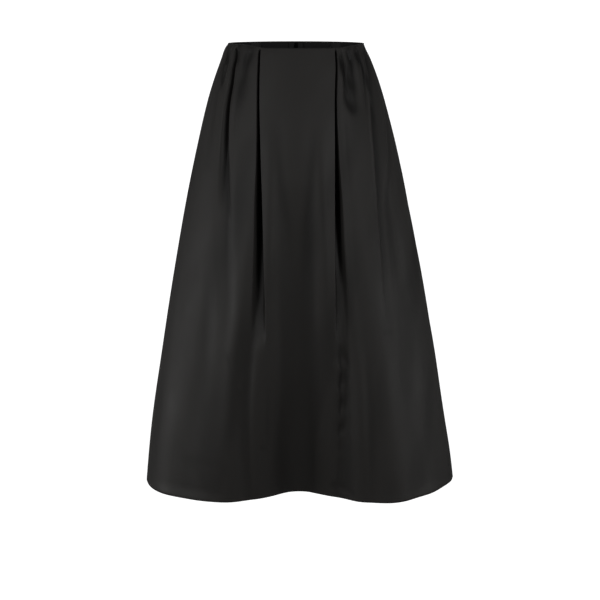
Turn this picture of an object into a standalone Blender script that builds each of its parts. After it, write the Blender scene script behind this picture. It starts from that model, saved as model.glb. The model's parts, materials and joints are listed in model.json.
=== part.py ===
"""Maxi skirt: a black satin A-line skirt, filled out and hollow, held at its waist.

The origin is the centre of the waist opening. +Z is up, the front faces -Y, and +X is the viewer's right.
Lengths are in metres. Heights in the tables are measured down from the waist edge.
"""

import math
from collections import namedtuple

import bmesh
import bpy
import numpy as np
from mathutils import Matrix, Vector

# Main sizes

LENGTH = 0.877
WALL = 0.0015
SEAM = 0.0003
FRONT_DIP = 0.0058
DIP_MIDDLE = 0.085
DIP_REACH = (0.50, 0.90)
DIP_FADE = 0.16
RIM_RISE = 0.014
END_CELL = 0.003

# Waist facing

FACING_WALL = 0.0010
FACING_ROWS = (0.0, 0.010, 0.024)
FACING_SPREAD = 0.004
FACING_STOP = 0.016

# Concealed zip in the centre back seam

ZIP_END = 0.205
TAPE_START = 0.003
TAPE_INNER = 0.003
TAPE_OUTER = 0.015
TAPE_WALL = 0.0010
COIL_HALF = 0.0027
COIL_WALL = 0.0015
COIL_TOP = 0.0131
NOTCH_HALF = 0.00095
NOTCH_STOPS = (0.0, 0.0038, 0.0050, 0.0095, 0.0155)
HINGE_HEIGHT = 0.0068
HINGE_OUT = 0.0022
SLIDER_HALF = 0.0027
SLIDER_THICK = 0.0022
SLIDER_LONG = 0.0097
SLIDER_DROP = 0.0028
NECK_HALF = 0.0005
NECK_ROUND = 0.00175
EYE_RADIUS = 0.00095
PULL_LONG = 0.022
PULL_THICK = 0.0009
PULL_HALF_TOP = 0.0018
PULL_HALF_END = 0.0025
PULL_CORNER = 0.0009
SLOT_HALF = 0.0009
SLOT_END = 0.0044
PULL_LEAN = math.radians(3.0)

# Rings of the skirt: half widths to the left and right, half depths to the front and back, and how square
# each ring is, where 2 is an ellipse.

Section = namedtuple("Section", "height left right front back square")
SECTIONS = (
    Section(0.000, 0.1303, 0.1312, 0.0970, 0.0970, 2.10),
    Section(0.010, 0.1376, 0.1352, 0.1000, 0.1005, 2.10),
    Section(0.030, 0.1450, 0.1450, 0.1055, 0.1070, 2.10),
    Section(0.070, 0.1596, 0.1606, 0.1155, 0.1185, 2.08),
    Section(0.110, 0.1721, 0.1732, 0.1250, 0.1295, 2.06),
    Section(0.194, 0.1926, 0.1955, 0.1410, 0.1475, 2.04),
    Section(0.307, 0.2173, 0.2208, 0.1570, 0.1640, 2.02),
    Section(0.427, 0.2392, 0.2445, 0.1700, 0.1760, 2.00),
    Section(0.590, 0.2661, 0.2749, 0.1805, 0.1860, 2.00),
    Section(0.756, 0.2923, 0.3023, 0.1880, 0.1930, 2.00),
    Section(0.819, 0.2996, 0.3125, 0.1905, 0.1950, 2.00),
    Section(LENGTH, 0.3051, 0.3199, 0.1925, 0.1965, 2.00),
)

# Rows of the cloth's grid, as heights

ROWS = (
    0.0, 0.0038, 0.0050, 0.010, 0.017, 0.024, 0.040, 0.065, 0.095, 0.135, 0.185,
    0.240, 0.300, 0.365, 0.435, 0.505, 0.575, 0.645, 0.715, 0.780, 0.832, LENGTH,
)

# Folds, from the viewer's left to right. Each has three or more heights, and at each of them its place
# across as a share of the half width, its depth into the skirt and its width in millimetres. A ridge has a
# minus depth.
# The skew makes the left side wider and the right side sharper, or the other way round below nought.

Fold = namedtuple("Fold", "name face kind heights places depths widths skew", defaults=(0.0,))
FOLDS = (
    Fold("left side gather", "front", "small", (0, 0.022, 0.070),
         (-0.965, -0.955, -0.93), (2, 3, 0), (3, 3, 7)),
    Fold("left edge gather", "front", "small", (0, 0.025, 0.080),
         (-0.915, -0.90, -0.87), (2, 3, 0), (3, 3, 7)),
    Fold("left second fold", "front", "small", (0, 0.150, 0.560),
         (-0.870, -0.734, -0.46), (4, 11, 0), (3, 6, 16), 0.3),
    Fold("left flank", "front", "wave", (0.45, 0.75, LENGTH),
         (-0.88, -0.88, -0.88), (0, -6, -5), (40, 50, 50)),
    Fold("left soft ridge", "front", "wave", (0.25, 0.52, 0.84),
         (-0.45, -0.43, -0.43), (0, -6, 0), (18, 20, 26)),
    Fold("left dimple", "front", "wave", (0.006, 0.028, 0.075),
         (-0.66, -0.65, -0.62), (0, 3, 0), (5, 6, 8)),
    Fold("left lower valley", "front", "wave", (0.46, 0.66, LENGTH),
         (-0.31, -0.355, -0.33), (0, 12, 5), (14, 17, 20), 0.2),
    Fold("left pleat", "front", "deep", (0, 0.11, 0.21, 0.29, 0.38, 0.57),
         (-0.509, -0.410, -0.354, -0.322, -0.295, -0.262),
         (7, 15, 26, 34, 29, 0), (4, 4.8, 6.6, 8.5, 10, 15), 0.45),
    Fold("centre left ridge", "front", "wave", (0.14, 0.38, LENGTH),
         (-0.26, -0.215, -0.17), (0, -5, -3), (14, 15, 20)),
    Fold("centre valley", "front", "wave", (0.26, 0.60, LENGTH),
         (0.01, 0.022, 0.025), (0, 34, 99), (34, 60, 98)),
    Fold("centre right ridge", "front", "wave", (0.14, 0.38, LENGTH),
         (0.25, 0.215, 0.16), (0, -5, -3), (14, 15, 20)),
    Fold("right pleat", "front", "deep", (0, 0.11, 0.21, 0.29, 0.38, 0.56),
         (0.577, 0.436, 0.389, 0.367, 0.347, 0.328),
         (7, 15, 26, 32, 25, 0), (4, 4.6, 6.6, 8, 9, 14), -0.45),
    Fold("right short fold", "front", "small", (0, 0.045, 0.110),
         (0.665, 0.61, 0.55), (2, 4, 0), (3, 3, 7)),
    Fold("right lower valley", "front", "wave", (0.46, 0.67, LENGTH),
         (0.357, 0.335, 0.31), (0, 13, 5), (12, 15, 18)),
    Fold("right dimple", "front", "wave", (0.006, 0.050, 0.130),
         (0.765, 0.73, 0.66), (0, 4, 0), (6, 7, 10)),
    Fold("right third fold", "front", "small", (0, 0.045, 0.130),
         (0.895, 0.85, 0.77), (3, 5, 0), (3, 4, 7)),
    Fold("right soft ridge", "front", "wave", (0.25, 0.52, 0.84),
         (0.57, 0.585, 0.56), (0, -6, -2), (20, 24, 30)),
    Fold("right hem lobe", "front", "wave", (0.50, 0.75, LENGTH),
         (0.64, 0.64, 0.62), (0, -8, -12), (36, 42, 44)),
    Fold("right step", "front", "step", (0, 0.170, 0.530),
         (0.985, 0.80, 0.668), (3, 10, 0), (5, 15, 19), -0.75),
    Fold("right flank", "front", "wave", (0.50, 0.75, LENGTH),
         (0.93, 0.93, 0.93), (0, 5, 8), (40, 45, 45)),
    Fold("back left gather", "back", "small", (0, 0.025, 0.090),
         (-0.94, -0.92, -0.89), (2, 3, 0), (3, 3, 7)),
    Fold("back left fold", "back", "small", (0, 0.120, 0.420),
         (-0.83, -0.74, -0.60), (3, 9, 0), (3, 6, 15)),
    Fold("back left pleat", "back", "deep", (0, 0.080, 0.270, 0.560),
         (-0.60, -0.527, -0.40, -0.33), (6, 12.5, 27, 0), (4, 5.1, 8, 15), 0.4),
    Fold("back left lobe", "back", "wave", (0.40, 0.70, LENGTH),
         (-0.58, -0.56, -0.55), (0, -6, -10), (34, 44, 50)),
    Fold("back left valley", "back", "wave", (0.46, 0.68, LENGTH),
         (-0.32, -0.30, -0.28), (0, 10, 24), (20, 30, 38)),
    Fold("back middle", "back", "wave", (0.36, 0.68, LENGTH),
         (0.0, 0.0, 0.0), (0, -3, -8), (30, 36, 44)),
    Fold("back right valley", "back", "wave", (0.46, 0.68, LENGTH),
         (0.32, 0.31, 0.30), (0, 9, 22), (20, 30, 40)),
    Fold("back right lobe", "back", "wave", (0.40, 0.70, LENGTH),
         (0.60, 0.60, 0.59), (0, -6, -11), (34, 44, 52)),
    Fold("back right pleat", "back", "deep", (0, 0.080, 0.280, 0.550),
         (0.60, 0.527, 0.40, 0.35), (6, 12.5, 26, 0), (4, 5, 8, 15), -0.4),
    Fold("back right fold", "back", "small", (0, 0.110, 0.400),
         (0.84, 0.75, 0.62), (3, 8, 0), (3, 6, 15)),
    Fold("back right gather", "back", "small", (0, 0.025, 0.085),
         (0.945, 0.925, 0.89), (2, 3, 0), (3, 3, 7)),
)

# Columns that each kind of fold puts in the grid, in widths from its middle, and how square its bottom is

FOLD_COLUMNS = {
    "deep": (-1.5, -1.1, -0.75, -0.35, 0.35, 0.75, 1.1, 1.5),
    "small": (-1.3, -0.5, 0.5, 1.3),
    "step": (-1.4, -0.7, 0.2, 0.8, 1.4),
    "wave": (),
}
FOLD_POWER = {"deep": 3.0, "small": 3.0, "step": 2.4, "wave": 2.2}
CELL = 0.0195
CELL_HEIGHTS = (0.02, 0.60)
LEAST_CELL = 0.0013

# Colours and finishes

FINISHES = {
    "satin": ((0.016, 0.015, 0.016), 0.38, 0.0),
    "facing": ((0.012, 0.012, 0.012), 0.62, 0.0),
    "tape": ((0.014, 0.014, 0.014), 0.85, 0.0),
    "coil": ((0.020, 0.020, 0.020), 0.45, 0.0),
    "slider": ((0.030, 0.030, 0.031), 0.32, 0.9),
}


# Tables read between their rows

def along(height, stops, values):
    """The value at this height on a smooth line through the stops, which never overshoots them."""
    height = min(max(height, stops[0]), stops[-1])
    steps = np.diff(stops)
    rises = np.diff(values) / steps
    slopes = np.zeros(len(stops))
    for i in range(1, len(stops) - 1):
        if rises[i - 1] * rises[i] > 0:
            slopes[i] = 2 * rises[i - 1] * rises[i] / (rises[i - 1] + rises[i])
    slopes[0] = min(max(1.5 * rises[0] - 0.5 * slopes[1], min(0, 3 * rises[0])), max(0, 3 * rises[0]))
    slopes[-1] = min(max(1.5 * rises[-1] - 0.5 * slopes[-2], min(0, 3 * rises[-1])), max(0, 3 * rises[-1]))
    i = min(int(np.searchsorted(stops, height, side="right")) - 1, len(steps) - 1)
    part = (height - stops[i]) / steps[i]
    rest = 1 - part
    ends = values[i] * rest * rest * (1 + 2 * part) + values[i + 1] * part * part * (3 - 2 * part)
    return ends + steps[i] * part * rest * (slopes[i] * rest - slopes[i + 1] * part)


def section_at(height):
    """The ring's sizes at this height."""
    stops = [section.height for section in SECTIONS]
    columns = [[section[k] for section in SECTIONS] for k in range(1, len(Section._fields))]
    return Section(height, *[along(height, stops, column) for column in columns])


def eased(value):
    """Nought to one, with soft ends."""
    value = np.clip(value, 0.0, 1.0)
    return value * value * (3 - 2 * value)


# The form of the skirt

class Ring:
    """One level of the skirt's front or back: its plain curve from the left seam to the right one."""

    def __init__(self, face, height):
        self.face = face
        self.height = height
        self.section = section_at(height)
        side = -1.0 if face == "front" else 1.0
        near, far = ("front", "back") if face == "front" else ("back", "front")
        angles = np.linspace(-0.25, math.pi + 0.25, 701)
        power = 2.0 / self.section.square
        cosines, sines = np.cos(angles), np.sin(angles)
        half_width = np.where(cosines > 0, self.section.left, self.section.right)
        half_depth = np.where(sines > 0, getattr(self.section, near), getattr(self.section, far))
        self.x = -half_width * np.sign(cosines) * np.abs(cosines) ** power
        self.y = side * half_depth * np.sign(sines) * np.abs(sines) ** power
        self.arc = np.concatenate([[0.0], np.cumsum(np.hypot(np.diff(self.x), np.diff(self.y)))])
        self.arc -= np.interp(0.0, angles, self.arc)
        self.long = float(np.interp(math.pi, angles, self.arc))

    def arc_at(self, place):
        """How far along the ring a place lies, given as a share of the half width."""
        x = place * (self.section.left if place < 0 else self.section.right)
        inside = (self.arc >= 0) & (self.arc <= self.long)
        return float(np.interp(x, self.x[inside], self.arc[inside]))

    def sink(self, arc, widen=1.0, spread=0.0):
        """How deep the folds push the cloth in at each place along the ring."""
        total = np.zeros(len(arc))
        for fold in FOLDS:
            if fold.face != self.face:
                continue
            depth = along(self.height, fold.heights, fold.depths) / 1000
            if depth == 0.0 or (widen > 1.0 and fold.kind == "wave" and depth < 0):
                continue
            width = along(self.height, fold.heights, fold.widths) / 1000
            off = arc - self.arc_at(along(self.height, fold.heights, fold.places))
            reach = np.where(off < 0, width * (1 + fold.skew), width * (1 - fold.skew)) * widen + spread
            total += depth * np.exp(-np.abs(off / reach) ** FOLD_POWER[fold.kind])
        return total * float(eased(self.height / RIM_RISE))

    def points(self, arc, widen=1.0, spread=0.0, gain=1.0):
        """The cloth's points at these places along the ring."""
        arc = np.asarray(arc, float)
        step = 0.0004
        x, y = np.interp(arc, self.arc, self.x), np.interp(arc, self.arc, self.y)
        run_x = np.interp(arc + step, self.arc, self.x) - np.interp(arc - step, self.arc, self.x)
        run_y = np.interp(arc + step, self.arc, self.y) - np.interp(arc - step, self.arc, self.y)
        size = np.hypot(run_x, run_y)
        turn = -1.0 if self.face == "front" else 1.0
        sink = self.sink(arc, widen, spread) * gain
        x = x + turn * run_y / size * sink
        y = y - turn * run_x / size * sink
        return np.stack([x, y, -self.height - self.dip(x)], axis=1)

    def dip(self, x):
        """How far the front waist edge hangs below the back one."""
        if self.face == "back":
            return np.zeros(len(x))
        across = x / np.where(x < 0, self.section.left, self.section.right)
        inner, outer = DIP_REACH
        flat = 1 - eased((np.abs(across - DIP_MIDDLE) - inner) / (outer - inner))
        return FRONT_DIP * flat * float(1 - eased(self.height / DIP_FADE))


def moved(face, height, arc, lift, widen=1.0, spread=0.0, gain=1.0):
    """Points on the cloth moved out by a lift, square to the cloth there."""
    arc = np.asarray(arc, float)
    ring = Ring(face, height)
    share = arc / ring.long
    middle = ring.points(arc, widen, spread, gain)
    ahead = ring.points(arc + 0.0005, widen, spread, gain)
    along_ring = ahead - ring.points(arc - 0.0005, widen, spread, gain)
    upper, lower = Ring(face, max(height - 0.001, 0.0)), Ring(face, min(height + 0.001, LENGTH))
    below = lower.points(share * lower.long, widen, spread, gain)
    down = below - upper.points(share * upper.long, widen, spread, gain)
    out = np.cross(along_ring, down) if face == "back" else np.cross(down, along_ring)
    return middle + out / np.linalg.norm(out, axis=1)[:, None] * lift


# The grid's columns

def spaced(places, least):
    """The same places in the same order, none nearer than the least cell to the next."""
    ahead = np.array(places, float)
    for i in range(1, len(ahead)):
        ahead[i] = max(ahead[i], ahead[i - 1] + least)
    behind = np.array(places, float)
    for i in range(len(behind) - 2, -1, -1):
        behind[i] = min(behind[i], behind[i + 1] - least)
    middle = (ahead + behind) / 2
    middle[0], middle[-1] = places[0], places[-1]
    return middle


def groups_at(ring, folds, start, end):
    """The columns that the two ends and each fold need at this level."""
    centre_back = ring.arc_at(0.0)
    from_centre = ring.face == "back" and start > centre_back
    to_centre = ring.face == "back" and end < centre_back
    groups = [[start, start + END_CELL] + [centre_back + FACING_STOP] * from_centre]
    for fold in folds:
        middle = ring.arc_at(along(ring.height, fold.heights, fold.places))
        width = along(ring.height, fold.heights, fold.widths) / 1000
        sides = (width * (1 + fold.skew), width * (1 - fold.skew))
        groups.append([middle + step * sides[step > 0] for step in FOLD_COLUMNS[fold.kind]])
    groups.append([centre_back - FACING_STOP] * to_centre + [end - END_CELL, end])
    return groups


def columns_at(face, height, edges):
    """The places along the ring of every column, the same number at each level."""
    models = [Ring(face, model_height) for model_height in CELL_HEIGHTS]
    folds = [fold for fold in FOLDS if fold.face == face and FOLD_COLUMNS[fold.kind]]
    start, end = edges(models[-1])
    folds = [fold for fold in folds if start < models[-1].arc_at(fold.places[-1]) < end]
    model_groups = [groups_at(model, folds, *edges(model)) for model in models]
    ring = Ring(face, height)
    groups = groups_at(ring, folds, *edges(ring))
    places = list(groups[0])
    for i in range(1, len(groups)):
        widest = max(model[i][0] - model[i - 1][-1] for model in model_groups)
        count = max(int(round(widest / CELL)), 1)
        start, end = groups[i - 1][-1], groups[i][0]
        places += [start + (end - start) * k / count for k in range(1, count)]
        places += groups[i]
    return spaced(places, LEAST_CELL)


# Edges of each panel along its ring

def notch(height):
    """Half of the gap at the centre back, which opens round the neck of the zip's slider."""
    return along(height, NOTCH_STOPS, (SEAM / 2, SEAM / 2, NOTCH_HALF, NOTCH_HALF, SEAM / 2))


def whole_front(ring):
    """From the left side seam to the right one."""
    return SEAM / 2, ring.long - SEAM / 2


def left_back(ring):
    """From the left side seam to the centre back."""
    return SEAM / 2, ring.arc_at(0.0) - notch(ring.height)


def right_back(ring):
    """From the centre back to the right side seam."""
    return ring.arc_at(0.0) + notch(ring.height), ring.long - SEAM / 2


# Meshes

def grid_object(name, rows, finish, thickness):
    """An open sheet through rows of points, given its thickness inwards."""
    shape = np.array(rows)
    tall, wide = shape.shape[:2]
    sheet = bmesh.new()
    bmesh.ops.create_grid(sheet, x_segments=wide - 1, y_segments=tall - 1, size=1.0)
    for corner in sheet.verts:
        column = round((corner.co.x + 1) / 2 * (wide - 1))
        row = round((1 - corner.co.y) / 2 * (tall - 1))
        corner.co = shape[row, column]
    bmesh.ops.recalc_face_normals(sheet, faces=sheet.faces)
    if outward(sheet) < 0:
        bmesh.ops.reverse_faces(sheet, faces=sheet.faces)
    obj = object_from(name, sheet, SKIRT)
    wall = obj.modifiers.new("Wall", "SOLIDIFY")
    wall.thickness = thickness
    wall.offset = -1.0
    wall.use_even_offset = True
    return dressed(obj, finish)


def outward(sheet):
    """Above nought where most faces look away from the skirt's middle line."""
    sheet.normal_update()
    total = 0.0
    for face in sheet.faces:
        middle = face.calc_center_median()
        total += face.calc_area() * (face.normal.x * middle.x + face.normal.y * middle.y)
    return total


def material(finish):
    """The material of this finish, made once."""
    found = bpy.data.materials.get(finish)
    if found:
        return found
    colour, roughness, metallic = FINISHES[finish]
    made = bpy.data.materials.new(finish)
    made.use_nodes = True
    shader = made.node_tree.nodes["Principled BSDF"]
    shader.inputs["Base Color"].default_value = (*colour, 1.0)
    shader.inputs["Roughness"].default_value = roughness
    shader.inputs["Metallic"].default_value = metallic
    made.diffuse_color = (*colour, 1.0)
    return made


def dressed(obj, finish):
    """Gives the object its material and hangs it on the waist mount."""
    obj.data.materials.append(material(finish))
    obj.parent = MOUNT
    return obj


def panel(name, face, edges):
    """A cloth panel of the skirt, from the waist edge to the hem."""
    rows = [Ring(face, height).points(columns_at(face, height, edges)) for height in ROWS]
    return grid_object(name, rows, "satin", WALL)


def facing(name, face, edges):
    """The inner band at the waist, which clears the folds of the panel outside it."""
    rows = []
    for height in FACING_ROWS:
        columns = columns_at(face, height, edges)
        rows.append(moved(face, height, columns, -WALL - SEAM, widen=2.0, spread=FACING_SPREAD, gain=1.12))
    return grid_object(name, rows, "facing", FACING_WALL)


def left_back_facing(ring):
    """The left back facing stops short of the zip's tape."""
    return SEAM / 2, ring.arc_at(0.0) - FACING_STOP


def right_back_facing(ring):
    """The right back facing stops short of the zip's tape."""
    return ring.arc_at(0.0) + FACING_STOP, ring.long - SEAM / 2


def strip(name, starts, ends, top, bottom, finish, thickness):
    """A strip close behind the back panels, given by its edges' distances from the centre back."""
    heights = [top] + [height for height in ROWS if top + 0.001 < height < bottom - 0.001] + [bottom]
    rows = []
    for height in heights:
        k = int(np.searchsorted(ROWS, height, side="right")) - 1
        part = (height - ROWS[k]) / (ROWS[k + 1] - ROWS[k])
        ends_of_cell = []
        for row in (ROWS[k], ROWS[k + 1]):
            middle = Ring("back", row).arc_at(0.0)
            ends_of_cell.append(moved("back", row, [middle + starts, middle + ends], -WALL - SEAM))
        rows.append(ends_of_cell[0] * (1 - part) + ends_of_cell[1] * part)
    return grid_object(name, rows, finish, thickness)


def object_from(name, mesh, collection):
    """An object made from a bmesh, in a collection."""
    data = bpy.data.meshes.new(name)
    mesh.to_mesh(data)
    mesh.free()
    obj = bpy.data.objects.new(name, data)
    collection.objects.link(obj)
    return obj


def box(name, low, high, collection):
    """A box between two corners."""
    mesh = bmesh.new()
    bmesh.ops.create_cube(mesh, size=1.0)
    bmesh.ops.scale(mesh, vec=Vector(high) - Vector(low), verts=mesh.verts)
    bmesh.ops.translate(mesh, vec=(Vector(low) + Vector(high)) / 2, verts=mesh.verts)
    return object_from(name, mesh, collection)


def rod(name, radius, half_long, collection):
    """A round rod along X through the origin."""
    mesh = bmesh.new()
    bmesh.ops.create_cone(
        mesh, cap_ends=True, segments=16, radius1=radius, radius2=radius, depth=2 * half_long,
        matrix=Matrix.Rotation(math.radians(90), 4, "Y"),
    )
    return object_from(name, mesh, collection)


def plate(name, outline, half_thick, turn, collection):
    """A flat plate with this outline, turned to its plane."""
    curve = bpy.data.curves.new(name + "_outline", "CURVE")
    curve.dimensions = "2D"
    curve.fill_mode = "BOTH"
    curve.extrude = half_thick
    spline = curve.splines.new("POLY")
    spline.points.add(len(outline) - 1)
    for point, (across, up) in zip(spline.points, outline):
        point.co = (across, up, 0.0, 1.0)
    spline.use_cyclic_u = True
    flat = bpy.data.objects.new(name + "_outline", curve)
    collection.objects.link(flat)
    bpy.context.view_layer.update()
    solid = bpy.data.meshes.new_from_object(flat.evaluated_get(bpy.context.evaluated_depsgraph_get()))
    bpy.data.objects.remove(flat, do_unlink=True)
    mesh = bmesh.new()
    mesh.from_mesh(solid)
    bpy.data.meshes.remove(solid)
    bmesh.ops.remove_doubles(mesh, verts=mesh.verts, dist=0.00001)
    bmesh.ops.transform(mesh, matrix=turn, verts=mesh.verts)
    bmesh.ops.recalc_face_normals(mesh, faces=mesh.faces)
    return object_from(name, mesh, collection)


def combine(obj, helper, operation):
    """Adds or takes away a helper, which stays hidden."""
    helper.hide_render = True
    helper.display_type = "WIRE"
    helper.matrix_world = obj.matrix_world
    modifier = obj.modifiers.new(operation.capitalize(), "BOOLEAN")
    modifier.operation = operation
    modifier.solver = "EXACT"
    modifier.object = helper


def slider_frame():
    """The place of the pull's hinge: Z up the cloth, Y out of it."""
    middle = Ring("back", HINGE_HEIGHT).arc_at(0.0)
    hinge = moved("back", HINGE_HEIGHT, [middle], HINGE_OUT)[0]
    inside = moved("back", HINGE_HEIGHT, [middle], 0.0)[0]
    out = Vector(hinge - inside).normalized()
    lean = math.atan2(-out.z, out.y)
    return Matrix.Translation(Vector((0.0, hinge[1], hinge[2]))) @ Matrix.Rotation(-lean, 4, "X")


def zip_slider(place):
    """The slider's body behind the cloth, with the neck that comes out through the notch to the eye."""
    face = -HINGE_OUT - WALL - SEAM
    back = face - SLIDER_THICK
    top = HINGE_HEIGHT - SLIDER_DROP
    obj = box("zip_slider", (-SLIDER_HALF, back, top - SLIDER_LONG), (SLIDER_HALF, face, top), SKIRT)
    obj.matrix_world = place
    arc = [math.radians(-90 + 15 * k) for k in range(13)]
    outline = [(NECK_ROUND * math.cos(a), NECK_ROUND * math.sin(a)) for a in arc]
    outline += [(face - SLIDER_THICK / 2, NECK_ROUND), (face - SLIDER_THICK / 2, -NECK_ROUND)]
    sideways = Matrix(((0, 0, 1, 0), (1, 0, 0, 0), (0, 1, 0, 0), (0, 0, 0, 1)))
    combine(obj, plate("slider_neck", outline, NECK_HALF, sideways, CUTTERS), "UNION")
    combine(obj, rod("slider_eye", EYE_RADIUS, 0.002, CUTTERS), "DIFFERENCE")
    return dressed(obj, "slider")


def zip_pull(place):
    """The flat pull, whose top bar passes through the slider's eye."""
    half = PULL_THICK / 2
    outline = [
        (-PULL_HALF_TOP, half),
        (-PULL_HALF_END, -PULL_LONG + PULL_CORNER),
        (-PULL_HALF_END + PULL_CORNER, -PULL_LONG),
        (PULL_HALF_END - PULL_CORNER, -PULL_LONG),
        (PULL_HALF_END, -PULL_LONG + PULL_CORNER),
        (PULL_HALF_TOP, half),
    ]
    obj = plate("zip_pull", outline, half, Matrix.Rotation(math.radians(90), 4, "X"), SKIRT)
    obj.matrix_world = place
    slot = box("pull_slot", (-SLOT_HALF, -0.002, -SLOT_END), (SLOT_HALF, 0.002, -half), CUTTERS)
    combine(obj, slot, "DIFFERENCE")
    return dressed(obj, "slider")


# The skirt

for old in list(bpy.data.objects):
    bpy.data.objects.remove(old, do_unlink=True)

SKIRT = bpy.data.collections.new("maxi_skirt")
CUTTERS = bpy.data.collections.new("cutters")
bpy.context.scene.collection.children.link(SKIRT)
bpy.context.scene.collection.children.link(CUTTERS)
CUTTERS.hide_render = True
MOUNT = bpy.data.objects.new("waist_mount", None)
SKIRT.objects.link(MOUNT)

# Cloth panels

panel("front", "front", whole_front)
panel("back_left", "back", left_back)
panel("back_right", "back", right_back)

# Waist facing

facing("front_facing", "front", whole_front)
facing("back_left_facing", "back", left_back_facing)
facing("back_right_facing", "back", right_back_facing)

# Concealed zip

strip("zip_tape_left", -TAPE_OUTER, -TAPE_INNER, TAPE_START, ZIP_END, "tape", TAPE_WALL)
strip("zip_tape_right", TAPE_INNER, TAPE_OUTER, TAPE_START, ZIP_END, "tape", TAPE_WALL)
strip("zip_coil", -COIL_HALF, COIL_HALF, COIL_TOP, ZIP_END, "coil", COIL_WALL)
HINGE = slider_frame()
zip_slider(HINGE)
zip_pull(HINGE @ Matrix.Rotation(-PULL_LEAN, 4, "X"))
bpy.context.view_layer.update()
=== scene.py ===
"""Looks of the maxi skirt: black satin panels, waist facing, concealed zip, and the plain studio round it.

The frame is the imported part's: metres, the origin at the middle of the waist opening, +Z up, the front facing
-Y. Heights in the tables are measured down from the waist edge.
"""

from __future__ import annotations

import json
import logging
import math
from dataclasses import dataclass, field
from enum import Enum
from typing import Any, Sequence

import bmesh
import bpy
import numpy as np
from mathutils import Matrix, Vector

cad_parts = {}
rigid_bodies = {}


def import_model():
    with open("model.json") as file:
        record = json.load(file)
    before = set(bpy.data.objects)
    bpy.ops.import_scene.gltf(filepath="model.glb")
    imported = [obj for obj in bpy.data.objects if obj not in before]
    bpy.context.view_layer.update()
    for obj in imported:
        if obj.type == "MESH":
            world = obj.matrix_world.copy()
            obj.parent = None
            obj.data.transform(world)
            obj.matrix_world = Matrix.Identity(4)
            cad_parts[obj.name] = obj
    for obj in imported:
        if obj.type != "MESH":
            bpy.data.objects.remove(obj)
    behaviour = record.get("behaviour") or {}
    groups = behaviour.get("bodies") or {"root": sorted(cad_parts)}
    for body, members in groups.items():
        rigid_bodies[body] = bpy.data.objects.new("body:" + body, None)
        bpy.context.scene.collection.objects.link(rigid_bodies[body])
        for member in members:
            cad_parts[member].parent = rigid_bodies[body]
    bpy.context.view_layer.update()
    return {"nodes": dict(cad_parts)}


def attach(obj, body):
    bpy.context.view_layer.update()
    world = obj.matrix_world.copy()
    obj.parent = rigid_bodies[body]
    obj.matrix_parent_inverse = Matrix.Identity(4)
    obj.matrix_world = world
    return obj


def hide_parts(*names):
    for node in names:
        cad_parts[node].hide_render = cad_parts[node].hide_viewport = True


LOG = logging.getLogger("maxi_skirt")

# Sizes of the whole skirt, in metres
LENGTH = 0.877
FRONT_DIP = 0.0058
DIP_MIDDLE = 0.085
DIP_REACH = (0.50, 0.90)
DIP_FADE = 0.16
RIM_RISE = 0.014
SEAM = 0.0003
CAD_WALL = 0.0015
END_CELL = 0.003
FACING_STOP = 0.016
NOTCH_HALF = 0.00095
NOTCH_STOPS = (0.0, 0.0038, 0.0050, 0.0095, 0.0155)
HEM_TURN = 0.028
RING_OVERLAP = 0.25
RING_POINTS = 1201
TANGENT_STEP = 0.0004
EDGE_TURNS = tuple(math.radians(angle) for angle in (45, 90, 135))

# Painted shade that darkens the satin's colour in its creases and dents: the depths that make it full, and the
# heights over which it weakens
PAINTED_SHADE_STEP = 0.001
PAINTED_SHADE_REACH = 0.018
PAINTED_SHADE_FULL_DEPTH = 0.0034
PAINTED_DENT_SHADE_DEPTH = 0.0013
PAINTED_SHADE_WEAKENS = (0.33, 0.50)
PAINTED_SHADE_LEFT = 0.33


class Face(Enum):
    """The two sides of the skirt, with the way each one looks."""

    FRONT = -1.0
    BACK = 1.0


class FoldKind(Enum):
    """Kinds of fold: how square the bottom is, and the grid columns it needs, in widths from its middle."""

    DEEP = (5.0, (-1.5, -1.1, -0.75, -0.35, 0.35, 0.75, 1.1, 1.5))
    SMALL = (3.0, (-1.3, -0.5, 0.5, 1.3))
    STEP = (2.4, (-1.4, -0.7, 0.2, 0.8, 1.4))
    WAVE = (2.2, ())

    @property
    def power(self) -> float:
        """How square the fold's bottom is."""
        return self.value[0]

    @property
    def columns(self) -> tuple[float, ...]:
        """The grid columns that the fold needs."""
        return self.value[1]


@dataclass(frozen=True)
class Section:
    """One ring of the skirt: half widths, half depths and squareness, where 2 is an ellipse."""

    height: float
    left: float
    right: float
    front: float
    back: float
    square: float


@dataclass(frozen=True)
class Fold:
    """A fold, with its place, depth and width in millimetres down its length. A ridge has a minus depth."""

    face: Face
    kind: FoldKind
    heights: tuple[float, ...]
    places: tuple[float, ...]
    depths: tuple[float, ...]
    widths: tuple[float, ...]
    skew: float = 0.0


@dataclass(frozen=True)
class Pucker:
    """A short fold, whose dent also darkens the satin's colour by painted shade: its middle, its depth, its
    half length along its own line and its half width.
    """

    face: Face
    height: float
    place: float
    depth: float
    long: float
    wide: float
    lean: float


SECTIONS = (
    Section(0.000, 0.1303, 0.1312, 0.0970, 0.0970, 2.10),
    Section(0.010, 0.1376, 0.1352, 0.1000, 0.1005, 2.10),
    Section(0.030, 0.1450, 0.1450, 0.1055, 0.1070, 2.10),
    Section(0.070, 0.1596, 0.1606, 0.1155, 0.1185, 2.08),
    Section(0.110, 0.1721, 0.1732, 0.1250, 0.1295, 2.06),
    Section(0.194, 0.1926, 0.1955, 0.1410, 0.1475, 2.04),
    Section(0.307, 0.2173, 0.2208, 0.1570, 0.1640, 2.02),
    Section(0.427, 0.2392, 0.2445, 0.1700, 0.1760, 2.00),
    Section(0.590, 0.2661, 0.2749, 0.1805, 0.1860, 2.00),
    Section(0.756, 0.2923, 0.3023, 0.1880, 0.1930, 2.00),
    Section(0.819, 0.2996, 0.3125, 0.1905, 0.1950, 2.00),
    Section(LENGTH, 0.3051, 0.3199, 0.1925, 0.1965, 2.00),
)

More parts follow.
